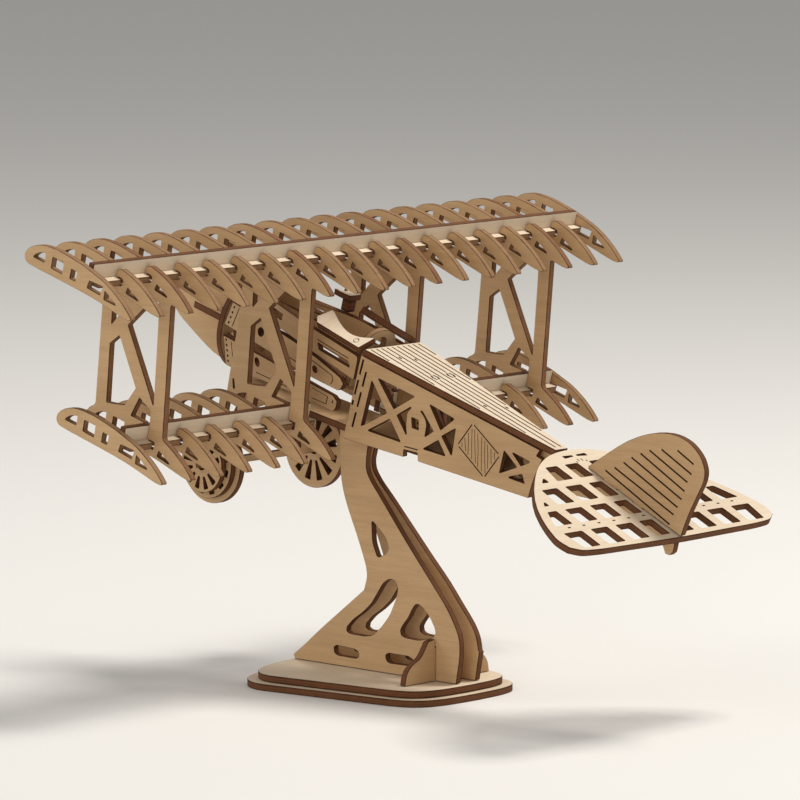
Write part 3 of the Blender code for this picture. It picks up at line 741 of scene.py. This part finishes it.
def lozenge(line):
    """A generic lozenge, each side a line short of its corners, filled with hatching."""
    u, z = LOZENGE
    left, top, right, low = rim = [(u - 8.6, z + 1.2), (u - 2.4, z + 9.0), (u + 8.6, z - 1.0),
                                   (u + 2.2, z - 9.0)]

    def height(u, p, q):
        return p[1] + (u - p[0]) / (q[0] - p[0]) * (q[1] - p[1])

    cuts = []
    for p, q in zip(rim, rim[1:] + rim[:1]):
        cuts.append(line([(p[0] + part * (q[0] - p[0]), p[1] + part * (q[1] - p[1]))
                          for part in (0.05, 0.95)], 0.42, 0.4))
    for i in range(11):
        here = u - 6.8 + 1.32 * i
        above = min(height(here, left, top), height(here, right, top)) - 1.1
        below = max(height(here, left, low), height(here, right, low)) + 1.1
        if above - below > 1.6:
            cuts.append(line([(here + 0.25 * math.sin(2.1 * i), below),
                              (here, 0.5 * (above + below)),
                              (here - 0.2 * math.sin(1.7 * i), above)], 0.22, 0.2))
    return cuts


def side_marks(at, sign):
    """The lozenge, two dashed rows beside the front edge and a tick."""
    def line(points, width, depth):
        return stroke([on_side(at, u, z, sign) for u, z in points], width, depth)

    cuts = lozenge(line)
    for high, low, first in (((5.1, 109.0), (-2.7, 83.2), 0.2), ((7.3, 108.4), (-0.4, 83.0), 3.9)):
        start, end = on_side(at, *high, sign), on_side(at, *low, sign)
        cuts += broken(start, end, 5.4, 2.0, first)
    cuts.append(line([(22.0, 80.4), (27.6, 79.6)], 0.4, 0.4))
    return cuts


def rim_marks(at):
    """A small pointed mark on the cockpit rim."""
    return [stroke([on_rim(at, 12.9 + near * side, s) for near, s in
                    ((0.2, -6.6), (1.0, -5.6), (0.2, -4.6))], 0.3, 0.3) for side in (-1.0, 1.0)]


def tail_marks(at):
    """A row of ticks before the tailplane's lattice and four beside its front point."""
    out = []
    for x in (4.2, 11.6, 19.0, 26.4, 33.8, 41.0):
        for sign in (-1.0, 1.0):
            ends = [on_tail(at, sign * x + half, -14.5) for half in (-0.7, 0.7)]
            out.append(stroke(ends, 0.6, 0.6))
    for x, s in ((2.4, -49.0), (-2.4, -49.0), (0.9, -50.2), (-0.9, -50.2)):
        out.append(stroke([on_tail(at, x, s), on_tail(at, x, s + 1.4)], 0.5, 0.5))
    return out


def ring_marks(at):
    """Rivets round the nose ring's front face."""
    turns = [2.0 * math.pi * (i + 0.5) / 18 for i in range(18)]
    return [dot(*at(*on_ring(12.6 * math.cos(a), 15.4 * math.sin(a))), 0.4, 0.5) for a in turns]


TOP_MARKS = {"fin": fin_lines, "rear_deck": deck_lines, "cockpit_coaming": rim_marks,
             "tailplane": tail_marks, "nose_ring": ring_marks,
             "fuselage_side_port": lambda at: side_marks(at, 1.0)}
UNDER_MARKS = {"fin": fin_lines, "fuselage_side_starboard": lambda at: side_marks(at, -1.0)}


# ---- pieces --------------------------------------------------------------------------------

# How far from a bend its rounding starts, where that isn't 3 mm.
REACH = {"stand_plate_port": 8.0, "stand_plate_starboard": 8.0, "fin": 8.0, "tailplane": 8.0,
         "base_plate_lower": 4.0, "base_plate_upper": 4.0, "stand_cross_brace": 4.0,
         "spinner_upright": 9.0, "cockpit_coaming": 5.0, "propeller": 6.0}
SPARS = ("upper_spar", "lower_spar_port", "lower_spar_starboard")
CAP_THICK = 2.0
GLUE = 0.02                         # gap between glued sheets
# The cap's outline, in parts of the block's width from the left and of its length from the rear.
HORNS = ((0.0, 1.0), (1.0, 1.0), (1.0, 0.45), (0.92, 0.0), (0.72, 0.0), (0.6, 0.42),
         (0.36, 0.42), (0.24, 0.1), (0.06, 0.1), (0.0, 0.5))


def tint_of(name):
    """Lit pale for the up-facing sheets, a lighter copy of the tan wood that paints the light
    falling on their faces from above; tan birch otherwise.
    """
    return "pale" if name in TOP_LIT_PIECES else "tan"


def own(ob, name, hides=True):
    """Ride the CAD node's body and stand for the node."""
    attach(ob, frame["nodes"][name]["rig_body"])
    if hides:
        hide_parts(name)
    tint_of(name) + "_plywood"


def piece(name, materials, number):
    """The sheet, or the block's two sheets, that stands for a CAD node."""
    loops, (a, b, n), low, high = outline_of(frame["nodes"][name])
    corner = 1.0 if "rib" in name or "strut" in name else 0.3
    rim, holes = loops[0], loops[1:]
    holes = [hole for hole in holes if clearance(hole, [rim]).min() > RIM_GAP]
    if name == "rear_deck":
        holes = []          # its slots are engraved marks here
    reach = REACH.get(name, 3.0)
    loops = [rounded(rim, reach, corner)] + [rounded(hole, reach, 0.3) for hole in holes]

    def place(x, y, w):
        return (a * x + b * y + n * (low + w)) * MM

    def at(x, y, z):
        spot = Vector((x, y + TABLE_SHIFT[0], z + TABLE_SHIFT[1]))
        return spot.dot(a), spot.dot(b)

    if name == "cowl_top_block":
        block_sheets(name, loops[0], high - low, place, materials)
        return
    top, under = (marks[name](at) if name in marks else () for marks in (TOP_MARKS, UNDER_MARKS))
    own(build_sheet(name + "_ply", loops, high - low, place, materials, (number * 0.37) % 1.0,
                    number * 41.3, top, under), name)


def block_sheets(name, rim, thick, place, materials):
    """A horned cap sheet on a narrower foot."""
    xs, ys = [p[0] for p in rim], [p[1] for p in rim]
    left, right, low, high = min(xs), max(xs), min(ys), max(ys)
    horned = [(left + u * (right - left), low + v * (high - low)) for u, v in HORNS]
    own(build_sheet(name + "_cap", [rounded(horned, 1.0, 0.5)], CAP_THICK,
                    lambda x, y, w: place(x, y, thick - CAP_THICK + w), materials, 0.2, 11.0),
        name)
    foot = [(left + 1.2, low + 3.8), (right - 1.2, low + 3.8), (right - 1.2, high - 0.8),
            (left + 1.2, high - 0.8)]
    own(build_sheet(name + "_foot", [rounded(foot, 1.0, 0.4)], thick - CAP_THICK - GLUE,
                    place, materials, 0.7, 37.0), name, hides=False)


def starboard_rim(materials):
    """The cockpit rim's other half, a mirror image of the CAD's port half."""
    loops, (a, b, n), low, high = outline_of(frame["nodes"]["cockpit_coaming"])
    loops = [rounded([(p, q) for p, q in reversed(loop)], 5.0) for loop in loops]

    def place(x, y, w):
        spot = a * x + b * y + n * (high - w)
        return Vector((-spot.x, spot.y, spot.z)) * MM

    ob = build_sheet("cockpit_coaming_starboard", loops, high - low, place, materials, 0.4, 17.0)
    own(ob, "cockpit_coaming", hides=False)


# ---- spars -------------------------------------------------------------------------------------

PITCH = 13.5                        # from rib to rib
SPAR_TILT = math.radians(14.0)
SPAR_TOP = (-46.9, 148.7)           # y and z of the upper spar's front top edge
LOWER_WING = (0.6, -55.7)           # how far the lower wing lies from the upper one
WEB_HIGH, WEB_THICK, SHELF_THICK = 7.2, 2.4, 2.2
COMB_FRONT, COMB_ROOT, COMB_BACK = 2.45, 3.45, 6.0      # measured back from the web's front
SLOT_HALF, SPAR_END = 1.6, 1.4      # half a rib's slot; how far a spar ends before a tip rib
SPAR_ROOT = 17.6                    # where the lower spars start


def spar(name, ends, shift, ribs, by_tint, number):
    """An upright strip with a comb of tabs behind it, one tab between each two ribs."""
    cs, sn = math.cos(SPAR_TILT), math.sin(SPAR_TILT)
    y0 = SPAR_TOP[0] + shift[0] + TABLE_SHIFT[0]
    z0 = SPAR_TOP[1] + shift[1] + TABLE_SHIFT[1]

    def place(x, c, u):
        return Vector((x, y0 + c * cs + u * sn, z0 - c * sn + u * cs)) * MM

    low, high = ends
    web = rounded([(low, -WEB_HIGH), (high, -WEB_HIGH), (high, 0.0), (low, 0.0)], 1.0)
    own(build_sheet(name + "_web", [web], WEB_THICK, lambda x, u, w: place(x, WEB_THICK - w, u),
                    by_tint["pale"], (number * 0.31) % 1.0, number * 23.0), name)
    outline = [(low + 0.1, COMB_FRONT), (high - 0.1, COMB_FRONT)]
    x = high - 0.1
    for rib in ribs:
        if low + 2.0 < rib < high - 2.0:
            outline += [(x, COMB_BACK), (rib + SLOT_HALF, COMB_BACK), (rib + SLOT_HALF, COMB_ROOT),
                        (rib - SLOT_HALF, COMB_ROOT)]
            x = rib - SLOT_HALF
    outline += [(x, COMB_BACK), (low + 0.1, COMB_BACK)]
    shelf = rounded(outline, 1.0, 0.75)
    own(build_sheet(name + "_shelf", [shelf], SHELF_THICK,
                    lambda x, c, w: place(x, c, w - WEB_HIGH), by_tint["spar"],
                    (number * 0.53) % 1.0, number * 57.0), name, hides=False)


def spars(by_tint):
    ribs = [(10 - k) * PITCH for k in range(1, 20)]
    upper_end, lower_end = 9 * PITCH - SPAR_END, 8 * PITCH - SPAR_END
    for number, (name, ends, shift) in enumerate((
            ("upper_spar", (-upper_end, upper_end), (0.0, 0.0)),
            ("lower_spar_port", (SPAR_ROOT, lower_end), LOWER_WING),
            ("lower_spar_starboard", (-lower_end, -SPAR_ROOT), LOWER_WING)), 1):
        spar(name, ends, shift, ribs, by_tint, number)


# ---- nose planks -------------------------------------------------------------------------------

STAVE_THICK = 2.3
BEHIND_RING = 2.9                   # where the staves start, from the ring's middle plane
BEND_AT = (13.9, -49.0)             # x and y of the bend, beside the cockpit
REAR_X = 14.4                       # x of the rear corners
EASE = 8.0                          # how far to each side of the bend it is eased
PLANKS = {
    # corners at the ring (x, h), heights beside the cockpit, rear corners (y, z)
    "upper": (((5.4, 15.4), (10.6, 11.0)), (118.4, 110.4), ((-25.0, 109.7), (-27.2, 101.4))),
    "middle": (((11.8, 9.2), (14.0, 1.3)), (109.7, 101.0), ((-31.4, 100.6), (-33.8, 97.0))),
    "lower": (((13.6, -2.8), (9.3, -14.4)), (98.8, 92.8), ((-34.6, 94.6), (-36.0, 89.6))),
}


def bent(points, l, first, long):
    """A point l along a plank's edge, whose one bend is eased."""
    a, b, c = points
    if l <= first - EASE:
        return a.lerp(b, l / first)
    if l >= first + EASE:
        return b.lerp(c, (l - first) / (long - first))
    start, end = a.lerp(b, (first - EASE) / first), b.lerp(c, EASE / (long - first))
    t = (l - first + EASE) / (2.0 * EASE)
    return start * (1 - t) ** 2 + b * 2 * t * (1 - t) + end * t * t


def plank_lines(label, sign):
    """The edges, the place of the bend and the length of a plank."""
    corners, beside, behind = PLANKS[label]
    edges = []
    for k in (0, 1):
        line = [on_ring(*corners[k], BEHIND_RING), (*BEND_AT, beside[k]), (REAR_X, *behind[k])]
        edges.append([Vector((sign * x, y + TABLE_SHIFT[0], z + TABLE_SHIFT[1]))
                      for x, y, z in line])
    mid = [0.5 * (p + q) for p, q in zip(*edges)]
    first = (mid[1] - mid[0]).length
    return edges, first, first + (mid[2] - mid[1]).length


def plank_cuts(label, wide):
    """(cuts, holes) of a plank, along it and down from its upper edge."""
    def line(points, width=LINE, depth=ENGRAVE):
        return stroke([(l, v * wide) for l, v in points], width, depth)

    def rivets(l, parts):
        return [dot(l, v * wide, 0.45, 0.6) for v in parts]

    if label == "upper":
        cuts = rivets(1.9, (0.18, 0.4, 0.62, 0.84))
        cuts += [line([(4.2, 0.08), (4.2, 0.92)]), line([(44.4, 0.34), (60.2, 0.30)], 0.3)]
        holes = [[(44.6, 0.46 * wide), (60.4, 0.42 * wide), (61.4, 0.62 * wide),
                  (45.4, 0.72 * wide)],
                 [(17.0, 0.3 * wide), (24.0, 0.3 * wide), (24.0, 0.6 * wide), (17.0, 0.6 * wide)]]
    elif label == "middle":
        cuts = rivets(1.6, (0.16, 0.39, 0.61, 0.84))
        cuts += [line([(4.0, 0.08), (3.6, 0.92)]), line([(24.0, 0.72), (38.0, 0.74)]),
                 line([(43.6, 0.26), (53.8, 0.26), (54.6, 0.52), (54.0, 0.82)], 0.4)]
        holes = [circle(16.9, 0.45 * wide, 1.5, 16, -1), circle(45.3, 0.56 * wide, 1.3, 16, -1)]
    else:
        cuts = rivets(1.5, (0.1, 0.28, 0.46, 0.64, 0.82))
        cuts += [line([(4.2, 0.08), (4.2, 0.62), (6.8, 0.84), (14.0, 0.84)]),
                 line([(16.4, 0.78), (38.0, 0.8)]),
                 line([(45.8, 0.2), (53.6, 0.24), (53.2, 0.74), (45.8, 0.8)], 0.4),
                 line([(56.2, 0.3), (56.2, 0.5)], 0.5, 0.5)]
        holes = [circle(17.4, 0.34 * wide, 1.2, 16, -1, 1.6)]
    return cuts, holes


def plank(label, side, materials, number):
    """A stave, bent once between its two edges."""
    (upper, lower), first, long = plank_lines(label, side)
    wide = 0.5 * ((upper[0] - lower[0]).length + (upper[1] - lower[1]).length)

    def skin(l, v):
        return bent(upper, l, first, long).lerp(bent(lower, l, first, long), v / wide)

    def place(l, v, w):
        here = skin(l, v)
        along, down = skin(l + 0.1, v) - here, skin(l, v + 0.1) - here
        inward = along.cross(down).normalized() * side
        if inward.x * side > 0:
            inward = -inward
        return (here + inward * (STAVE_THICK - w)) * MM

    tip = 0.25 * wide if label != "upper" else 0.7
    outline = [(0.0, 0.0), (long - tip, 0.0), (long, tip), (long, wide - tip),
               (long - 0.5 * tip, wide), (0.0, wide)]
    cuts, holes = plank_cuts(label, wide)
    loops = [rounded(outline, 2.0, 0.6)] + [rounded(hole, 1.0, 0.4) for hole in holes]
    name = "nose_stave_%s_%s" % ("port" if side > 0 else "starboard", label)
    own(build_sheet(name + "_ply", [divided(loop, 2.0) for loop in loops], STAVE_THICK, place,
                    materials, (number * 0.29) % 1.0, number * 31.0, cuts, mesh_step=3.0,
                    mirrored=side > 0), name)


def planks(materials):
    for number, (label, side) in enumerate((l, s) for l in PLANKS for s in (1.0, -1.0)):
        plank(label, side, materials, number)


# ---- wheels ------------------------------------------------------------------------------------

WHEEL_AT = (28.0, -83.2, 68.9)      # the port wheel's middle
HALF_WHEEL = 3.6                    # half of three discs
DISCS = (("outer", 9.8, 8.7), ("middle", 12.0, 10.7), ("inner", 14.0, 11.4))   # radius, reach
DISC_PITCH, DISC_THICK = 2.4, 2.36
AXLE_HOLE, HUB = 1.95, 4.4


def polar(radius, degrees):
    """A point at this radius and angle."""
    a = math.radians(degrees)
    return radius * math.cos(a), radius * math.sin(a)


def disc_loops(radius, reach):
    """A disc's rim, its axle hole and twelve wedges from the hub out to reach."""
    loops = [circle(0.0, 0.0, radius, 72), circle(0.0, 0.0, AXLE_HOLE, 24, -1)]
    for i in range(12):
        deg = 15.0 + 30.0 * i
        wedge = [(HUB, deg - 5.0), (HUB, deg + 5.0), (reach, deg + 6.6), (reach, deg - 6.6)]
        loops.append(rounded([polar(*corner) for corner in wedge], 0.5, 0.35))
    return loops


def disc_place(sign, level):
    """Where a disc's own points lie, w from its inner face outwards."""
    outer = sign * (WHEEL_AT[0] + HALF_WHEEL - DISC_PITCH * level)
    gap = GLUE if level else 0.0

    def place(a, b, w):
        x = outer - sign * (DISC_PITCH - w + gap)
        return Vector((x, WHEEL_AT[1] + TABLE_SHIFT[0] + sign * a,
                       WHEEL_AT[2] + TABLE_SHIFT[1] + b)) * MM

    return place


def wheels(materials):
    """Three glued discs, the smallest outermost, with an engraved line round that one."""
    for side, sign in (("port", 1.0), ("starboard", -1.0)):
        name = "wheel_" + side
        for level, (label, radius, reach) in enumerate(DISCS):
            ring = [stroke([polar(radius - 0.75, d + half) for d in range(8, 173, 6)], 0.25)
                    for half in (0, 180)] if level == 0 else ()
            ob = build_sheet("%s_%s" % (name, label), disc_loops(radius, reach), DISC_THICK,
                             disc_place(sign, level), materials, 0.2 + 0.3 * level,
                             level * 19.0, ring)
            own(ob, name, hides=level == 0)


# ---- the model ---------------------------------------------------------------------------------

def finish_of(name):
    """The finish of a sheet: its tint, or one whose cut edge is painted lighter, standing for the
    light on the top-lit rib edges and the backlit strut edges.
    """
    if "rib_" in name or name == "headrest_arch":
        return "rib"
    return "strut" if "strut" in name else tint_of(name)


def model():
    by_tint = woods()
    for number, name in enumerate(sorted(frame["nodes"])):
        if name not in SPARS and not name.startswith(("nose_stave", "wheel")):
            piece(name, by_tint[finish_of(name)], number)
    starboard_rim(by_tint["pale"])
    spars(by_tint)
    planks(by_tint["tan"])
    wheels(by_tint["tan"])


camera()
studio()
floor()
model()
bpy.context.view_layer.update()
